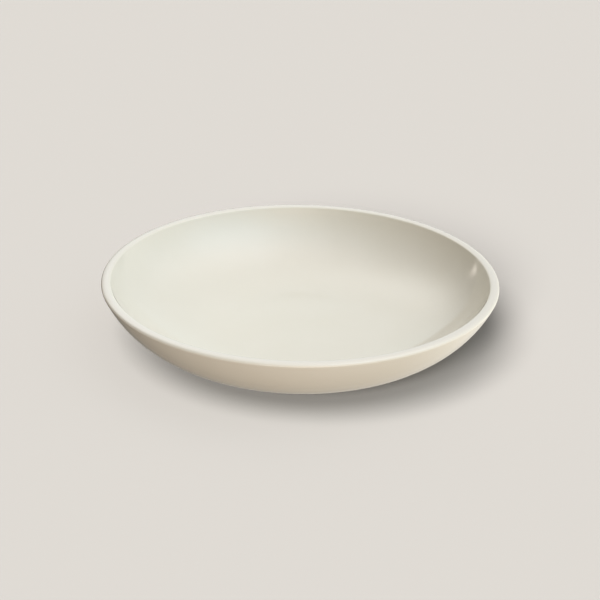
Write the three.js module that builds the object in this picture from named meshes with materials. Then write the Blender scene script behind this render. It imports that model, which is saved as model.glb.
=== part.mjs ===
// Deep plate in glazed stoneware: a round coupe dish whose wall rises from the base in one sweep.
// Units are millimetres and +Z is up. The origin is the centre of the circle that the foot ring
// stands on. The clay body is one piece. The glaze is a skin of glass fused on to it, and the
// wiped foot ring parts that skin in two: the coat over the dish and the disc under the base.
import * as THREE from "three";
import { mergeGeometries } from "three/addons/utils/BufferGeometryUtils.js";

// Driving dimensions, measured over the glaze unless a comment says otherwise
const RIM_DIAMETER = 220; // at the widest part of the lip
const HEIGHT = 40; // table to the top of the lip
const LIP_THICKNESS = 5.1; // across the wall just under the lip
const LIP_EDGE_RADIUS = 1.2; // both edges of the level lip, where they are softened
const RIM_SLOPE = THREE.MathUtils.degToRad(67); // the wall's rise from the table just under the lip
const WELL_DIAMETER = 80; // the level floor inside the plate
const FLOOR_THICKNESS = 5.4; // well to the recess under the base
const FOOT_DIAMETER = 114; // over the outer side of the foot ring
const FOOT_WIDTH = 6; // foot ring, from its outer side to its inner side
const FOOT_HEIGHT = 2.5; // table to the underside of the base outside the ring
const FOOT_FILLET = 1.2; // both sides of the ring, where they run into the base
const FOOT_EDGE_RADIUS = 0.6; // bare clay, both edges of the face that stands on the table
const RECESS_DEPTH = 2.5; // table to the underside of the base inside the ring
const GLAZE_THICKNESS = 0.4; // fired
const GLAZE_LINE = 1; // the ring is wiped clean of glaze up to this height

// Facets
const TURNS = 60; // round the axis
const WALL_STEPS = 8; // up the outer wall
const SWEEP_STEPS = 12; // down the inner wall
const LIP_STEPS = 4; // round each edge of the lip
const FILLET_STEPS = 3;
const EDGE_STEPS = 2;

const GLAZE_COLOUR = "#e6e2d4"; // warm ivory
const CLAY_COLOUR = "#d6c6ac"; // fired buff stoneware

// Points along an arc in the (radius, height) plane, both ends included
function arc(centre, radius, from, to, steps) {
  return Array.from({ length: steps + 1 }, (_, step) => {
    const angle = THREE.MathUtils.lerp(from, to, step / steps);
    return new THREE.Vector2(
      centre.x + radius * Math.cos(angle),
      centre.y + radius * Math.sin(angle),
    );
  });
}

const FILLET_ROOM = 0.9; // share of its wall that a fillet or a softened edge may take

// The lip is cut level across the end of the wall, and both of its edges are softened
const lipEdge = Math.min(LIP_EDGE_RADIUS, (FILLET_ROOM * LIP_THICKNESS) / 2);
const lipWidth = (LIP_THICKNESS - 2 * lipEdge) / Math.sin(RIM_SLOPE); // the level part
const outerEdgeCentre = new THREE.Vector2(RIM_DIAMETER / 2 - lipEdge, HEIGHT - lipEdge);
const innerEdgeCentre = new THREE.Vector2(outerEdgeCentre.x - lipWidth, outerEdgeCentre.y);
const acrossWall = new THREE.Vector2(Math.sin(RIM_SLOPE), -Math.cos(RIM_SLOPE));
const lipAngle = RIM_SLOPE - Math.PI / 2; // direction of acrossWall

// The outer wall is an arc that leaves the base level and reaches the lip at the rim's slope
const outerTop = outerEdgeCentre.clone().addScaledVector(acrossWall, lipEdge);
const outerRadius = (outerTop.y - FOOT_HEIGHT) / (1 - Math.cos(RIM_SLOPE));
const outerCentre = outerTop.clone().addScaledVector(acrossWall, -outerRadius);

// The inner wall is one sweep from the lip, less and less steep, that runs out level into the well
const floorHeight = RECESS_DEPTH + FLOOR_THICKNESS;
const innerTop = innerEdgeCentre.clone().addScaledVector(acrossWall, -lipEdge);
const sweepCorner = new THREE.Vector2(
  innerTop.x - (innerTop.y - floorHeight) / Math.tan(RIM_SLOPE),
  floorHeight,
);
const wellEdge = new THREE.Vector2(WELL_DIAMETER / 2, floorHeight);
const innerSweep = new THREE.QuadraticBezierCurve(innerTop, sweepCorner, wellEdge);

// Foot ring
const footOuter = FOOT_DIAMETER / 2;
const footInner = footOuter - FOOT_WIDTH;
const outerFillet = Math.min(FOOT_FILLET, FILLET_ROOM * (FOOT_HEIGHT - GLAZE_LINE));
const recessFillet = Math.min(FOOT_FILLET, FILLET_ROOM * (RECESS_DEPTH - GLAZE_LINE));

// The wall arc starts outside the ring's fillet, or tangent to it where the two would cross
const filletReach = footOuter + outerFillet - outerCentre.x;
const startSlope = Math.asin(Math.max(0, filletReach) / (outerRadius + outerFillet));
const outerFilletCentre = new THREE.Vector2(
  footOuter + outerFillet,
  outerCentre.y - (outerRadius + outerFillet) * Math.cos(startSlope),
);
const recessFilletCentre = new THREE.Vector2(
  footInner - recessFillet,
  RECESS_DEPTH - recessFillet,
);

// The inner wall from the lip down to the edge of the well, sunk into the plate by the given depth
function innerFace(depth) {
  return Array.from({ length: SWEEP_STEPS + 1 }, (_, step) => {
    const along = innerSweep.getTangent(step / SWEEP_STEPS);
    const intoClay = new THREE.Vector2(-along.y, along.x);
    return innerSweep.getPoint(step / SWEEP_STEPS).addScaledVector(intoClay, depth);
  });
}

// The dish from the glaze line on the ring's outer side, up the wall, over the lip and down to the
// middle of the well, sunk into the plate by the given depth
function dishFace(depth) {
  const level = -Math.PI / 2;
  const fillet = arc(outerFilletCentre, outerFillet + depth, Math.PI, startSlope - level, FILLET_STEPS);
  const outside = arc(outerCentre, outerRadius - depth, startSlope + level, lipAngle, WALL_STEPS);
  const outerEdge = arc(outerEdgeCentre, lipEdge - depth, lipAngle, Math.PI / 2, LIP_STEPS);
  const innerEdge = arc(innerEdgeCentre, lipEdge - depth, Math.PI / 2, lipAngle + Math.PI, LIP_STEPS);
  return [
    new THREE.Vector2(footOuter - depth, GLAZE_LINE),
    ...fillet,
    ...(startSlope > 0 ? outside.slice(1) : outside),
    ...outerEdge.slice(1),
    ...innerEdge,
    ...innerFace(depth).slice(1),
    new THREE.Vector2(0, floorHeight - depth),
  ];
}

// The recess from its middle to the glaze line on the ring's inner side, sunk by the given depth
function recessFace(depth) {
  const fillet = arc(recessFilletCentre, recessFillet + depth, Math.PI / 2, 0, FILLET_STEPS);
  return [
    new THREE.Vector2(0, RECESS_DEPTH + depth),
    ...fillet,
    new THREE.Vector2(footInner + depth, GLAZE_LINE),
  ];
}

// The bare clay that stands on the table, from the inner glaze line to the outer one
function footLand() {
  const inner = footInner + GLAZE_THICKNESS;
  const outer = footOuter - GLAZE_THICKNESS;
  const edge = Math.min(FOOT_EDGE_RADIUS, GLAZE_LINE, (outer - inner) / 2);
  const innerEdge = new THREE.Vector2(inner + edge, edge);
  const outerEdge = new THREE.Vector2(outer - edge, edge);
  return [
    ...arc(innerEdge, edge, Math.PI, 1.5 * Math.PI, EDGE_STEPS),
    ...arc(outerEdge, edge, 1.5 * Math.PI, 2 * Math.PI, EDGE_STEPS),
  ];
}

const glaze = new THREE.MeshStandardMaterial({ color: GLAZE_COLOUR, roughness: 0.12, metalness: 0 });
const clay = new THREE.MeshStandardMaterial({ color: CLAY_COLOUR, roughness: 0.9, metalness: 0 });

// A profile turned about the axis: a solid if it starts and ends there, and otherwise an open sheet
function turn(profile) {
  return new THREE.LatheGeometry(profile, TURNS);
}

// A skin of glaze: the face that shows, the clay's own face turned over, and the narrow strip that
// joins the two along the wiped line. Each profile given runs the way the clay's does.
function skin(shownFace, clayFace, strip) {
  const underside = turn(clayFace);
  underside.index.array.reverse();
  return mergeGeometries([turn(shownFace), turn(strip), underside]);
}

function piece(name, geometry, material) {
  const mesh = new THREE.Mesh(geometry, material);
  mesh.name = name;
  return mesh;
}

const dish = dishFace(0);
const dishClay = dishFace(GLAZE_THICKNESS);
const recess = recessFace(0);
const recessClay = recessFace(GLAZE_THICKNESS);

const body = turn([...recessClay, ...footLand(), ...dishClay]);
const coat = skin(dish, dishClay, [dishClay[0], dish[0]]);
const base = skin(recess, recessClay, [recess.at(-1), recessClay.at(-1)]);

const deepPlate = new THREE.Group();
deepPlate.name = "deep_plate";
deepPlate.rotation.x = Math.PI / 2; // a lathe turns about +Y, and the plate stands on +Z
deepPlate.add(
  piece("stoneware_body", body, clay),
  piece("glaze_coat", coat, glaze),
  piece("base_glaze", base, glaze),
);

export default deepPlate;
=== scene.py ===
# Deep plate in glazed stoneware, as it is made: the clay is turned, the glaze goes over it, the kiln
# fuses the two, and the plate stands on a plain table under soft studio light.
import math

import bpy
from mathutils import Matrix, Vector


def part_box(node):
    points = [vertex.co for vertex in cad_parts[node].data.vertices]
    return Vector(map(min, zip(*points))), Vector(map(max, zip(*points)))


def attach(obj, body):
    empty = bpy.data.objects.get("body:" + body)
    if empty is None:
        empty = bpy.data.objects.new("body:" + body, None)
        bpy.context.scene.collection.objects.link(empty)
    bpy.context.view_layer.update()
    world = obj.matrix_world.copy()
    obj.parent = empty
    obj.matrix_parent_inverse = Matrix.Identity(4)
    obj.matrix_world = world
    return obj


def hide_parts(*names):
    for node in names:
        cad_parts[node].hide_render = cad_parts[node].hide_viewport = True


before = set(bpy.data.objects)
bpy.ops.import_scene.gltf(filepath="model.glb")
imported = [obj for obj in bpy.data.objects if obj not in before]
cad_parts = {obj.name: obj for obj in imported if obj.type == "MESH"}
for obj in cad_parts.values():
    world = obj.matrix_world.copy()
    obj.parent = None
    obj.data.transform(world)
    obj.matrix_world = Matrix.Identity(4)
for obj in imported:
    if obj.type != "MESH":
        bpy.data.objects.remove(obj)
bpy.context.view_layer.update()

# Stoneware body
# The plate itself: buff stoneware clay, thrown and then turned on the wheel, with a foot ring left
# standing under the base. Once the glaze is on, only the face of the ring stays bare.
MM = 0.001
RIM_SLOPE = math.radians(67)  # the wall's rise from the table just under the lip
LIP_THICKNESS = 5.1 * MM  # across the wall just under the lip
LIP_EDGE_RADIUS = 1.2 * MM  # both edges of the lip, where they are softened
LIP_CROWN = math.radians(20)  # the lean of the lip's top where it meets either edge
WELL_RADIUS = 40 * MM  # the level floor inside the plate
FLOOR_THICKNESS = 5.4 * MM  # well to the recess under the base
FOOT_WIDTH = 6 * MM  # foot ring, from its outer side to its inner side
FOOT_HEIGHT = 2.5 * MM  # table to the underside of the base outside the ring
FOOT_FILLET = 1.2 * MM  # both sides of the ring, where they run into the base
FOOT_EDGE_RADIUS = 0.6 * MM  # both edges of the face that stands on the table
GLAZE_THICKNESS = 0.4 * MM  # fired
WELD_DISTANCE = 0.002 * MM  # closes the seam and the poles

# Facets, fine enough that none shows in the gloss
TURNS = 240  # round the axis
WALL_STEPS = 56  # up the outer wall
SWEEP_STEPS = 72  # down the inner wall
OUTER_EDGE_STEPS = 18  # round the lip's outer edge
INNER_EDGE_STEPS = 10  # round the lip's inner edge
CROWN_STEPS = 8  # over the lip between its edges
FILLET_STEPS = 8  # round each fillet of the ring
FOOT_EDGE_STEPS = 8  # round each edge of the ring's face
FLAT_RINGS = 20  # across the well, and across the recess

coat_low, coat_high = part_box("glaze_coat")
base_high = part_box("base_glaze")[1]
rim_radius = coat_high.x
rim_height = coat_high.z
glaze_line = coat_low.z
recess_height = base_high.z - GLAZE_THICKNESS
floor_height = recess_height + FLOOR_THICKNESS
foot_inner = base_high.x - GLAZE_THICKNESS
foot_outer = foot_inner + FOOT_WIDTH

# Ways in the plane of the profile, where x is the radius and y the height
UP = Vector((0, 1))
OUT = Vector((1, 0))
FACING_UP = math.pi / 2
FACING_DOWN = -math.pi / 2


def arc(centre, radius, start, end, steps):
    """Points of an arc in the plane of the profile, each with the way that the arc faces."""
    points = []
    for step in range(steps + 1):
        angle = start + (end - start) * step / steps
        facing = Vector((math.cos(angle), math.sin(angle)))
        points.append((centre + radius * facing, facing))
    return points


def hollow(points):
    """The same points on a hollow, which faces the arc's centre."""
    return [(place, -facing) for place, facing in points]


# The lip is cut level with softened edges, and wiping with a wet sponge has left it a little crowned.
# The outer wall is an arc, and the inner wall is one sweep that gets steeper from the well to the lip.
lip_width = (LIP_THICKNESS - 2 * LIP_EDGE_RADIUS) / math.sin(RIM_SLOPE)
outer_edge_centre = Vector((rim_radius - LIP_EDGE_RADIUS, rim_height - LIP_EDGE_RADIUS))
inner_edge_centre = outer_edge_centre - OUT * lip_width
crown_radius = lip_width / 2 / math.sin(LIP_CROWN)
crown_centre = outer_edge_centre - OUT * lip_width / 2 - UP * crown_radius * math.cos(LIP_CROWN)
lip_angle = RIM_SLOPE + FACING_DOWN
across_wall = Vector((math.cos(lip_angle), math.sin(lip_angle)))
outer_top = outer_edge_centre + across_wall * LIP_EDGE_RADIUS
outer_radius = (outer_top.y - FOOT_HEIGHT) / (1 - math.cos(RIM_SLOPE))
outer_centre = outer_top - across_wall * outer_radius
inner_top = inner_edge_centre - across_wall * LIP_EDGE_RADIUS
sweep_corner = Vector((inner_top.x - (inner_top.y - floor_height) / math.tan(RIM_SLOPE), floor_height))
well_edge = Vector((WELL_RADIUS, floor_height))

# The ring's outer side runs into the outer wall in a fillet, and its inner side into the recess
start_slope = math.asin((foot_outer + FOOT_FILLET - outer_centre.x) / (outer_radius + FOOT_FILLET))
outer_fillet_centre = Vector((
    foot_outer + FOOT_FILLET,
    outer_centre.y - (outer_radius + FOOT_FILLET) * math.cos(start_slope),
))
recess_fillet_centre = Vector((foot_inner - FOOT_FILLET, recess_height - FOOT_FILLET))


def inner_wall(depth):
    """The inner wall from the lip down to the edge of the well, sunk into the plate by depth."""
    points = []
    for step in range(SWEEP_STEPS + 1):
        done = step / SWEEP_STEPS
        left = 1 - done
        place = inner_top * left ** 2 + sweep_corner * 2 * done * left + well_edge * done ** 2
        along = (sweep_corner - inner_top) * left + (well_edge - sweep_corner) * done
        facing = Vector((along.y, -along.x)).normalized()
        points.append((place - facing * depth, facing))
    return points


def dish_face(depth):
    """The dish from the ring's outer side over the lip to the middle of the well, sunk by depth."""
    fillet = arc(outer_fillet_centre, FOOT_FILLET + depth, math.pi, start_slope + FACING_UP, FILLET_STEPS)
    outside = arc(outer_centre, outer_radius - depth, start_slope + FACING_DOWN, lip_angle, WALL_STEPS)
    crown_start = FACING_UP - LIP_CROWN
    crown_end = FACING_UP + LIP_CROWN
    edge_radius = LIP_EDGE_RADIUS - depth
    outer_edge = arc(outer_edge_centre, edge_radius, lip_angle, crown_start, OUTER_EDGE_STEPS)
    crown = arc(crown_centre, crown_radius + edge_radius, crown_start, crown_end, CROWN_STEPS)
    inner_edge = arc(inner_edge_centre, edge_radius, crown_end, lip_angle + math.pi, INNER_EDGE_STEPS)
    lip = outer_edge + crown[1:] + inner_edge[1:]
    reaches = [WELL_RADIUS * ring / FLAT_RINGS for ring in reversed(range(FLAT_RINGS))]
    well = [(Vector((reach, floor_height - depth)), UP) for reach in reaches]
    return hollow(fillet) + outside[1:] + lip[1:] + inner_wall(depth)[1:] + well


def recess_face(depth):
    """The recess from its middle to the ring's inner side, sunk by depth."""
    reaches = [recess_fillet_centre.x * ring / FLAT_RINGS for ring in range(FLAT_RINGS)]
    ceiling = [(Vector((reach, recess_height + depth)), -UP) for reach in reaches]
    return ceiling + hollow(arc(recess_fillet_centre, FOOT_FILLET + depth, FACING_UP, 0, FILLET_STEPS))


def foot_land():
    """The bare face that stands on the table, with both of its worn edges."""
    inner_edge = Vector((foot_inner + GLAZE_THICKNESS + FOOT_EDGE_RADIUS, FOOT_EDGE_RADIUS))
    outer_edge = Vector((foot_outer - GLAZE_THICKNESS - FOOT_EDGE_RADIUS, FOOT_EDGE_RADIUS))
    inner_round = arc(inner_edge, FOOT_EDGE_RADIUS, -math.pi, FACING_DOWN, FOOT_EDGE_STEPS)
    outer_round = arc(outer_edge, FOOT_EDGE_RADIUS, FACING_DOWN, 0, FOOT_EDGE_STEPS)
    return inner_round + outer_round


def add(tree, kind, inputs=None, **settings):
    """Adds a node to a tree. An input that is given as a socket is linked, and any other is set."""
    node = tree.nodes.new(kind)
    for name, value in settings.items():
        setattr(node, name, value)
    for name, value in (inputs or {}).items():
        if isinstance(value, bpy.types.NodeSocket):
            tree.links.new(value, node.inputs[name])
        else:
            node.inputs[name].default_value = value
    return node


def potters_wheel():
    """A Geometry Nodes tree that turns a profile about +Z. Each point of the profile says which way it
    faces, and what share it has of the glaze's ripple, pool and painted lip highlight and of the wiped
    line's waver."""
    tree = bpy.data.node_groups.new("Potter's wheel", "GeometryNodeTree")
    kinds = {
        "Profile": "Geometry",
        "Turns": "Int",
        "Ripple height": "Float",
        "Ripple width": "Float",
        "Line waver": "Float",
        "Seed": "Float",
        "Finish": "Material",
    }
    for name, kind in kinds.items():
        tree.interface.new_socket(name, in_out="INPUT", socket_type="NodeSocket" + kind)
    tree.interface.new_socket("Piece", in_out="OUTPUT", socket_type="NodeSocketGeometry")
    given = add(tree, "NodeGroupInput").outputs
    profile = given["Profile"]

    # One column of the grid for each facet, and one row for each point of the profile
    rows = add(tree, "GeometryNodeAttributeDomainSize", {"Geometry": profile}).outputs["Point Count"]
    columns = add(tree, "ShaderNodeMath", {0: given["Turns"], 1: 1.0}, operation="ADD").outputs[0]
    grid = add(tree, "GeometryNodeMeshGrid", {"Vertices X": columns, "Vertices Y": rows}).outputs["Mesh"]
    index = add(tree, "GeometryNodeInputIndex").outputs[0]
    row = add(tree, "ShaderNodeMath", {0: index, 1: rows}, operation="MODULO").outputs[0]
    part = add(tree, "ShaderNodeMath", {0: index, 1: rows}, operation="DIVIDE").outputs[0]
    column = add(tree, "ShaderNodeMath", {0: part}, operation="FLOOR").outputs[0]
    share = add(tree, "ShaderNodeMath", {0: column, 1: given["Turns"]}, operation="DIVIDE").outputs[0]
    angle = add(tree, "ShaderNodeMath", {0: share, 1: math.tau}, operation="MULTIPLY").outputs[0]

    def on_profile(name, data_type):
        """What the row's own point of the profile says."""
        field = add(tree, "GeometryNodeInputNamedAttribute", {"Name": name}, data_type=data_type)
        sample = {"Geometry": profile, "Value": field.outputs["Attribute"], "Index": row}
        return add(tree, "GeometryNodeSampleIndex", sample, data_type=data_type).outputs[0]

    turned = {}
    for name in ("place", "facing"):
        swing = {"Vector": on_profile(name, "FLOAT_VECTOR"), "Axis": (0, 0, 1), "Angle": angle}
        turned[name] = add(tree, "ShaderNodeVectorRotate", swing, rotation_type="AXIS_ANGLE").outputs[0]

    # The ripple stands out along the way that the surface faces, and the waver runs up and down
    fineness = {0: 1.0, 1: given["Ripple width"]}
    fineness = add(tree, "ShaderNodeMath", fineness, operation="DIVIDE").outputs[0]
    noise = {"Vector": turned["place"], "W": given["Seed"], "Scale": fineness, "Detail": 1.0}
    swell = add(tree, "ShaderNodeTexNoise", noise, noise_dimensions="4D").outputs["Fac"]
    swell = add(tree, "ShaderNodeMath", {0: swell, 1: 0.5}, operation="SUBTRACT").outputs[0]
    moves = {}
    for name, size in (("ripple", "Ripple height"), ("waver", "Line waver")):
        move = add(tree, "ShaderNodeMath", {0: swell, 1: given[size]}, operation="MULTIPLY").outputs[0]
        move = {0: move, 1: on_profile(name, "FLOAT")}
        moves[name] = add(tree, "ShaderNodeMath", move, operation="MULTIPLY").outputs[0]
    ripple = {0: turned["facing"], "Scale": moves["ripple"]}
    ripple = add(tree, "ShaderNodeVectorMath", ripple, operation="SCALE").outputs[0]
    waver = add(tree, "ShaderNodeCombineXYZ", {"Z": moves["waver"]}).outputs[0]
    drift = add(tree, "ShaderNodeVectorMath", {0: ripple, 1: waver}, operation="ADD").outputs[0]

    shaped = {"Geometry": grid, "Position": turned["place"], "Offset": drift}
    shaped = add(tree, "GeometryNodeSetPosition", shaped).outputs[0]
    # The same share carries the painted highlight on the lip, where it is below 0
    pooled = {"Geometry": shaped, "Name": "pool_and_lip_highlight", "Value": on_profile("pool_and_lip_highlight", "FLOAT")}
    pooled = add(tree, "GeometryNodeStoreNamedAttribute", pooled).outputs[0]
    closed = {"Geometry": pooled, "Distance": WELD_DISTANCE}
    closed = add(tree, "GeometryNodeMergeByDistance", closed).outputs[0]
    smooth = add(tree, "GeometryNodeSetShadeSmooth", {"Geometry": closed}).outputs[0]
    real = add(tree, "GeometryNodeRealizeInstances", {"Geometry": smooth}).outputs[0]
    piece = {"Geometry": real, "Material": given["Finish"]}
    piece = add(tree, "GeometryNodeSetMaterial", piece).outputs[0]
    add(tree, "NodeGroupOutput", {"Piece": piece})
    return tree


wheel = potters_wheel()


def turn(name, profile, finish, shares=None, **sizes):
    """Turns a profile of places and facings on the wheel, and returns the piece with a plain mesh."""
    places, facings = zip(*profile)
    chain = bpy.data.meshes.new(name + "_profile")
    chain.from_pydata([(place.x, 0, place.y) for place in places], [], [])
    for attribute, vectors in (("place", places), ("facing", facings)):
        layer = chain.attributes.new(attribute, "FLOAT_VECTOR", "POINT")
        for item, vector in zip(layer.data, vectors):
            item.vector = (vector.x, 0, vector.y)
    for attribute, values in (shares or {}).items():
        layer = chain.attributes.new(attribute, "FLOAT", "POINT")
        for item, value in zip(layer.data, values):
            item.value = value
    blank = bpy.data.objects.new(name + "_blank", chain)
    bpy.context.scene.collection.objects.link(blank)
    spin = blank.modifiers.new("Wheel", "NODES")
    spin.node_group = wheel
    inputs = {"Turns": TURNS, "Finish": finish, **sizes}
    for socket in wheel.interface.items_tree:
        if socket.in_out == "INPUT" and socket.name in inputs:
            spin[socket.identifier] = inputs[socket.name]
    evaluated = blank.evaluated_get(bpy.context.evaluated_depsgraph_get())
    piece = bpy.data.objects.new(name, bpy.data.meshes.new_from_object(evaluated))
    bpy.data.objects.remove(blank)
    bpy.context.scene.collection.objects.link(piece)
    return piece


def linear(colour):
    """An sRGB hex colour as linear red, green, blue and alpha."""
    channels = []
    for start in (1, 3, 5):
        shade = int(colour[start:start + 2], 16) / 255
        channels.append(shade / 12.92 if shade <= 0.04045 else ((shade + 0.055) / 1.055) ** 2.4)
    return channels + [1]


# Buff stoneware, fired and unglazed: matt and sandy, with grains of grog, specks of iron, the fine
# rings that the turning tool leaves, and a toasted band where the glaze draws the iron out
GRIT_SIZE = 0.7 * MM
GRIT_DEPTH = 0.03 * MM
SPECK_SPACING = 2.2 * MM
SPECK_SIZE = 0.22 * MM
SPECK_CORE = 0.5  # share of a speck's size that is full iron
RING_SPACING = 0.8 * MM  # drawn coarser than a tool leaves them, so that they show
RING_DEPTH = 0.02 * MM
TOAST_HEIGHT = 0.5 * MM  # where the toasted band starts
TOAST_SHARE = 0.7  # of the toasted colour at the glaze
CLAY_ROUGHNESS = (0.75, 0.95)  # between the grains and on them
clay = bpy.data.materials.new("Fired buff stoneware")
clay.use_nodes = True
tree = clay.node_tree
clay_shader = tree.nodes["Principled BSDF"]
clay_shader.inputs["IOR"].default_value = 1.45
spot = add(tree, "ShaderNodeTexCoord").outputs["Object"]
grit = {"Vector": spot, "Scale": 1 / GRIT_SIZE, "Detail": 3.0, "Roughness": 0.6}
grit = add(tree, "ShaderNodeTexNoise", grit).outputs["Fac"]
cells = {"Vector": spot, "Scale": 1 / SPECK_SPACING, "Randomness": 1.0}
cells = add(tree, "ShaderNodeTexVoronoi", cells).outputs["Distance"]
speck_reach = SPECK_SIZE / SPECK_SPACING
iron = {"Value": cells, "From Min": speck_reach, "From Max": SPECK_CORE * speck_reach}
iron = add(tree, "ShaderNodeMapRange", iron).outputs["Result"]
axes = add(tree, "ShaderNodeSeparateXYZ", {0: spot}).outputs
toast = {"Value": axes["Z"], "From Min": TOAST_HEIGHT, "From Max": glaze_line, "To Max": TOAST_SHARE}
toast = add(tree, "ShaderNodeMapRange", toast, interpolation_type="SMOOTHSTEP").outputs["Result"]
tone = linear("#bfa680")
for share, colour in ((grit, "#e2d3b8"), (iron, "#7a5636"), (toast, "#b07f4f")):
    layer = {"Factor": share, "A": tone, "B": linear(colour)}
    tone = add(tree, "ShaderNodeMix", layer, data_type="RGBA").outputs["Result"]
tree.links.new(tone, clay_shader.inputs["Base Color"])
matt = {"Value": grit, "To Min": CLAY_ROUGHNESS[0], "To Max": CLAY_ROUGHNESS[1]}
matt = add(tree, "ShaderNodeMapRange", matt).outputs["Result"]
tree.links.new(matt, clay_shader.inputs["Roughness"])
reach = add(tree, "ShaderNodeVectorMath", {0: spot, 1: (1, 1, 0)}, operation="MULTIPLY").outputs[0]
reach = add(tree, "ShaderNodeVectorMath", {0: reach}, operation="LENGTH").outputs["Value"]
rings = {0: reach, 1: math.tau / RING_SPACING}
rings = add(tree, "ShaderNodeMath", rings, operation="MULTIPLY").outputs[0]
rings = add(tree, "ShaderNodeMath", {0: rings}, operation="SINE").outputs[0]
tooled = add(tree, "ShaderNodeBump", {"Distance": RING_DEPTH, "Height": rings}).outputs[0]
sandy = {"Distance": GRIT_DEPTH, "Height": grit, "Normal": tooled}
sandy = add(tree, "ShaderNodeBump", sandy).outputs[0]
tree.links.new(sandy, clay_shader.inputs["Normal"])

clay_profile = recess_face(GLAZE_THICKNESS) + foot_land() + dish_face(GLAZE_THICKNESS)
stoneware = turn("stoneware_plate", clay_profile, clay)
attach(stoneware, "root")
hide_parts("stoneware_body")

# Glaze coat
# The ivory glass that covers the dish inside and out. It was poured on as a slip of ground glass and
# melted on to the clay in the kiln, and it ends in a soft bead where the ring was wiped clean.
RIPPLE_HEIGHT = 0.08 * MM  # trough to crest at the most
RIPPLE_WIDTH = 34 * MM  # crest to crest
LINE_WAVER = 0.8 * MM  # the wiped line, from its lowest to its highest at the most
LINE_DROP = 0.14 * MM  # keeps the wavering line off the ring's fillet
SEED = 4.0  # of the ripple and the waver
BEAD_STEPS = 10  # round the end of the glaze
POOL_RADIUS = 66 * MM  # the circle at the foot of the inner wall where the glaze lies deepest
POOL_WIDTH = 16 * MM  # from that circle to where the pool has mostly run out

# Glossy ivory glaze: clear and hard on top, so that it mirrors the room, over a milky ivory that is a
# little greyer where it lies deep by the well, and painted paler on the lip: a painted highlight of its
# lit top
CLOUD_WIDTH = 30 * MM
DEEP_SHARE = 0.35  # of the deep glaze's colour in the pool
LIP_HIGHLIGHT_SHARE = 0.4  # of the painted highlight's colour on the lip
FLECK_SPACING = 9 * MM
FLECK_SIZE = 0.28 * MM
FLECK_CORE = 0.4  # share of a fleck's size that has its full colour
FLECK_SHARE = 0.6  # of the fleck's colour in the strongest one
CLEAN_SHARE = 0.45  # of the places for a fleck, which have none
ORANGE_PEEL_WIDTH = 4 * MM
ORANGE_PEEL_DEPTH = 0.008 * MM
GLAZE_ROUGHNESS = (0.04, 0.08)  # from cloud to cloud
glaze = bpy.data.materials.new("Glossy ivory glaze")
glaze.use_nodes = True
tree = glaze.node_tree
glaze_shader = tree.nodes["Principled BSDF"]
glaze_shader.inputs["IOR"].default_value = 1.52
spot = add(tree, "ShaderNodeTexCoord").outputs["Object"]
cloud = {"Vector": spot, "Scale": 1 / CLOUD_WIDTH, "Detail": 3.0, "Roughness": 0.55}
cloud = add(tree, "ShaderNodeTexNoise", cloud).outputs["Fac"]
pool_and_lip_highlight = add(tree, "ShaderNodeAttribute", attribute_name="pool_and_lip_highlight").outputs["Fac"]
deep = {0: pool_and_lip_highlight, 1: DEEP_SHARE}
deep = add(tree, "ShaderNodeMath", deep, operation="MULTIPLY", use_clamp=True).outputs[0]
# Painted highlight: the lip's top is painted paler and whiter, as if lit
lip_highlight = {0: pool_and_lip_highlight, 1: -LIP_HIGHLIGHT_SHARE}
lip_highlight = add(tree, "ShaderNodeMath", lip_highlight, operation="MULTIPLY", use_clamp=True).outputs[0]
cells = add(tree, "ShaderNodeTexVoronoi", {"Vector": spot, "Scale": 1 / FLECK_SPACING}).outputs
fleck_reach = FLECK_SIZE / FLECK_SPACING
fleck = {"Value": cells["Distance"], "From Min": fleck_reach, "From Max": FLECK_CORE * fleck_reach}
fleck = add(tree, "ShaderNodeMapRange", fleck).outputs["Result"]
chance = add(tree, "ShaderNodeSeparateColor", {0: cells["Color"]}).outputs[0]
chance = {"Value": chance, "From Min": CLEAN_SHARE, "From Max": 1.0, "To Max": FLECK_SHARE}
chance = add(tree, "ShaderNodeMapRange", chance).outputs["Result"]
fleck = add(tree, "ShaderNodeMath", {0: fleck, 1: chance}, operation="MULTIPLY").outputs[0]
tone = linear("#dad7c8")
# The lip's paler colour is a painted highlight
for share, colour in ((cloud, "#dedccf"), (deep, "#d8d6c8"), (lip_highlight, "#dedcd3"), (fleck, "#9b8768")):
    layer = {"Factor": share, "A": tone, "B": linear(colour)}
    tone = add(tree, "ShaderNodeMix", layer, data_type="RGBA").outputs["Result"]
tree.links.new(tone, glaze_shader.inputs["Base Color"])
gloss = {"Value": cloud, "To Min": GLAZE_ROUGHNESS[0], "To Max": GLAZE_ROUGHNESS[1]}
gloss = add(tree, "ShaderNodeMapRange", gloss).outputs["Result"]
tree.links.new(gloss, glaze_shader.inputs["Roughness"])
peel = {"Vector": spot, "Scale": 1 / ORANGE_PEEL_WIDTH, "Detail": 1.0}
peel = add(tree, "ShaderNodeTexNoise", peel).outputs["Fac"]
peel = add(tree, "ShaderNodeBump", {"Distance": ORANGE_PEEL_DEPTH, "Height": peel}).outputs[0]
tree.links.new(peel, glaze_shader.inputs["Normal"])


def bead(clay_radius, side):
    """The rounded end of the glaze at the wiped line, from the clay out to the face that shows."""
    radius = GLAZE_THICKNESS / 2
    centre = Vector((clay_radius + side.x * radius, glaze_line - LINE_DROP + radius))
    points = arc(centre, radius, math.pi, math.tau, BEAD_STEPS)
    return points if side.x > 0 else points[::-1]


def pool_and_lip_highlight_share(place):
    """How deep the glaze lies, 1 at the foot of the inner wall and 0 elsewhere, and below 0 down to -1
    over the lip, which paints the lip's highlight.
    """
    # Over the lip the share goes below 0, and that paints the lip's highlight
    over_lip = max(0.0, (place.y - inner_top.y) / (rim_height - inner_top.y))
    foot_of_wall = math.exp(-((place.x - POOL_RADIUS) / POOL_WIDTH) ** 2)
    return foot_of_wall * (place.y > floor_height - GLAZE_THICKNESS / 2) - over_lip ** 2


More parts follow.
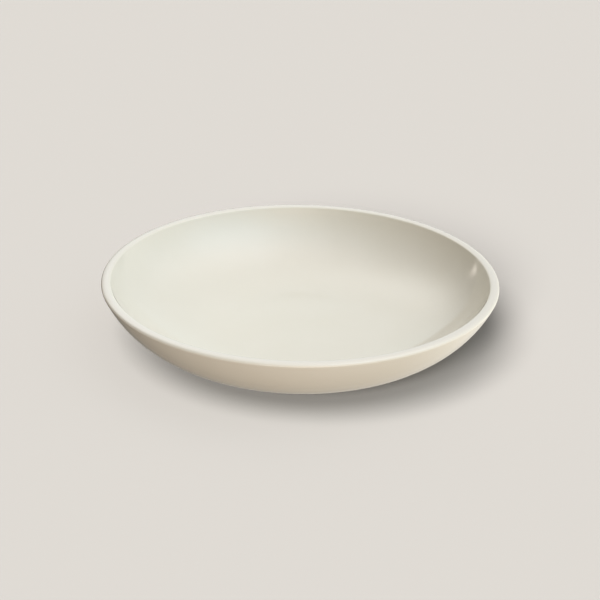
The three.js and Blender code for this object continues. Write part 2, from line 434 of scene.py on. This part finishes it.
# The face that shows has the ripple, except on the ring's fillet, and the bead alone has the waver
dish = dish_face(0)
dish_on_clay = dish_face(GLAZE_THICKNESS)[::-1]
coat_line = bead(foot_outer - GLAZE_THICKNESS, OUT)
coat_profile = dish_on_clay + coat_line + dish
still = len(dish_on_clay) + len(coat_line) + FILLET_STEPS
coat_shares = {
    "ripple": [0] * still + [1] * (len(coat_profile) - still),
    "waver": [0] * len(dish_on_clay) + [1] * len(coat_line) + [0] * len(dish),
    "pool_and_lip_highlight": [pool_and_lip_highlight_share(place) for place, facing in coat_profile],
}
melt = {
    "Ripple height": RIPPLE_HEIGHT,
    "Ripple width": RIPPLE_WIDTH,
    "Line waver": LINE_WAVER,
    "Seed": SEED,
}
glaze_coat = turn("ivory_glaze_coat", coat_profile, glaze, coat_shares, **melt)
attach(glaze_coat, "root")
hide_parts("glaze_coat")

# Base glaze
# The disc of the same ivory glass in the recess under the base. It was melted on in the same firing,
# and the bare ring parts it from the coat, with a bead along the inner wiped line.
recess = recess_face(0)
recess_on_clay = recess_face(GLAZE_THICKNESS)[::-1]
base_line = bead(foot_inner + GLAZE_THICKNESS, -OUT)[::-1]
base_profile = recess + base_line + recess_on_clay
rippled = len(recess) - FILLET_STEPS
base_shares = {
    "ripple": [1] * rippled + [0] * (len(base_profile) - rippled),
    "waver": [0] * len(recess) + [1] * len(base_line) + [0] * len(recess_on_clay),
    "pool_and_lip_highlight": [0] * len(base_profile),
}
base_glaze = turn("ivory_base_glaze", base_profile, glaze, base_shares, **melt)
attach(base_glaze, "root")
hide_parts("base_glaze")

# Table
# A plain table top in matt grey paint, which lamps of its own bring up to a pale tone. Only the camera
# sees it, so that it throws no colour on the plate, and from below the view goes through it.
TABLE_SIZE = 12.0  # m, so that its edges stay far off
half = TABLE_SIZE / 2
table_mesh = bpy.data.meshes.new("pale_table")
corners = [(-half, -half, 0), (half, -half, 0), (half, half, 0), (-half, half, 0)]
table_mesh.from_pydata(corners, [], [(0, 1, 2, 3)])
table = bpy.data.objects.new("pale_table", table_mesh)
bpy.context.scene.collection.objects.link(table)
table.visible_diffuse = False
table.visible_glossy = False
table.visible_transmission = False
table.visible_shadow = False

# Matt grey paint: no gloss and no grain, so that the plate's shadow is all that shows on it
paint = bpy.data.materials.new("Matt grey paint")
paint.use_nodes = True
tree = paint.node_tree
painted = add(tree, "ShaderNodeBsdfDiffuse", {"Color": linear("#5a5855")}).outputs[0]
clear = add(tree, "ShaderNodeBsdfTransparent").outputs[0]
below = add(tree, "ShaderNodeNewGeometry").outputs["Backfacing"]
two_sided = add(tree, "ShaderNodeMixShader", {0: below, 1: painted, 2: clear}).outputs[0]
tree.links.new(two_sided, tree.nodes["Material Output"].inputs["Surface"])
table_mesh.materials.append(paint)

# Camera
# A camera with a longish lens, in front of the plate and a little above it. It looks down and leans
# to one side as the photographer's did.
LENS = 72.0  # mm, like the sensor
SENSOR = 36.0
DISTANCE = 0.6868  # m, from the middle of the foot ring
ELEVATION = math.radians(26.57)  # above the table, seen from there
PITCH = math.radians(24.81)  # how far it looks down
ROLL = math.radians(0.936)  # how far it leans
camera_data = bpy.data.cameras.new("Camera")
camera_data.lens = LENS
camera_data.sensor_width = SENSOR
camera = bpy.data.objects.new("Camera", camera_data)
bpy.context.scene.collection.objects.link(camera)
stand = Vector((0, -math.cos(ELEVATION), math.sin(ELEVATION))) * DISTANCE
camera.matrix_world = (
    Matrix.Translation(stand)
    @ Matrix.Rotation(math.pi / 2 - PITCH, 4, "X")
    @ Matrix.Rotation(ROLL, 4, "Z")
)
bpy.context.scene.camera = camera

# Light
# A studio with a large cool soft box high in front on the right, a warm ceiling, a tall box in front, a
# pale wall and a window behind, the table's bounce, and dark on the left but for one bright gap. The
# camera itself sees only a plain pale backdrop.
SHADE = "#30281f"  # the dark of the room between the boxes
BACKDROP = "#dfdad4"
world = bpy.data.worlds.new("Studio")
world.use_nodes = True
bpy.context.scene.world = world
studio = world.node_tree
way = add(studio, "ShaderNodeTexCoord").outputs["Generated"]


def lit(room, colour, strength, turned, height, wide, tall):
    """Adds a soft box to the room. Its middle is turned from the back (+Y) towards the right (+X) and
    stands at a height above the table, and it fades out over its width and its height: all in degrees."""
    turned, height, wide, tall = map(math.radians, (turned, height, wide, tall))
    level = math.cos(height)
    aim = {
        "Vector": way,
        "Location": (math.sin(turned) * level, math.cos(turned) * level, math.sin(height)),
        "Rotation": (height, 0, -turned),
        "Scale": (wide, max(wide, tall), tall),
    }
    off = add(studio, "ShaderNodeMapping", aim, vector_type="TEXTURE").outputs[0]
    fade = {0: off, 1: off}
    fade = add(studio, "ShaderNodeVectorMath", fade, operation="DOT_PRODUCT").outputs["Value"]
    fade = add(studio, "ShaderNodeMath", {0: fade, 1: -1.0}, operation="MULTIPLY").outputs[0]
    share = add(studio, "ShaderNodeMath", {0: fade}, operation="EXPONENT").outputs[0]
    full = [channel * strength for channel in linear(colour)[:3]]
    box = add(studio, "ShaderNodeVectorMath", {0: full, "Scale": share}, operation="SCALE").outputs[0]
    return add(studio, "ShaderNodeVectorMath", {0: room, 1: box}, operation="ADD").outputs[0]


room = linear(SHADE)[:3]
room = lit(room, "#bfe5ff", strength=2.05, turned=125, height=53, wide=34, tall=34)  # large cool box
room = lit(room, "#ffe9de", strength=1.77, turned=54, height=74, wide=34, tall=34)  # warm ceiling
room = lit(room, "#ffdcb9", strength=2.01, turned=172, height=-1, wide=23, tall=43)  # tall box in front
room = lit(room, "#f1fffd", strength=0.71, turned=358, height=12, wide=19, tall=15)  # pale wall behind
room = lit(room, "#fefffa", strength=1.57, turned=338, height=40, wide=19, tall=19)  # window behind
room = lit(room, "#e8f2ff", strength=1.95, turned=190, height=-18, wide=37, tall=14)  # bounce in front
room = lit(room, "#fffbf1", strength=1.73, turned=59, height=-20, wide=45, tall=35)  # bounce on the right
room = lit(room, "#fff2e6", strength=2.80, turned=318, height=4, wide=3, tall=5)  # gap on the left
seen = add(studio, "ShaderNodeLightPath").outputs["Is Camera Ray"]
shown = {"Factor": seen, "A": room, "B": linear(BACKDROP)}
shown = add(studio, "ShaderNodeMix", shown, data_type="RGBA").outputs["Result"]
studio.links.new(shown, studio.nodes["Background"].inputs["Color"])

# Two soft lamps for the table alone, a high one and a low one, which give the plate its shadow
lit_by_lamps = bpy.data.collections.new("Lit by the table lamps")
lit_by_lamps.objects.link(table)


def table_lamp(name, strength, turned, height, spread):
    """Adds a lamp far off that lights the table alone. It stands as a soft box does, in degrees."""
    turned, height, spread = map(math.radians, (turned, height, spread))
    lamp_data = bpy.data.lights.new(name, "SUN")
    lamp_data.energy = strength
    lamp_data.angle = spread
    lamp = bpy.data.objects.new(name, lamp_data)
    lamp.rotation_euler = (height - math.pi / 2, 0, -turned)
    lamp.light_linking.receiver_collection = lit_by_lamps
    bpy.context.scene.collection.objects.link(lamp)


table_lamp("High table lamp", strength=15.6, turned=209, height=54, spread=36)
table_lamp("Low table lamp", strength=17.5, turned=198, height=23, spread=20)

# The tones go straight to the picture, with no film curve over them
bpy.context.scene.view_settings.view_transform = "Standard"
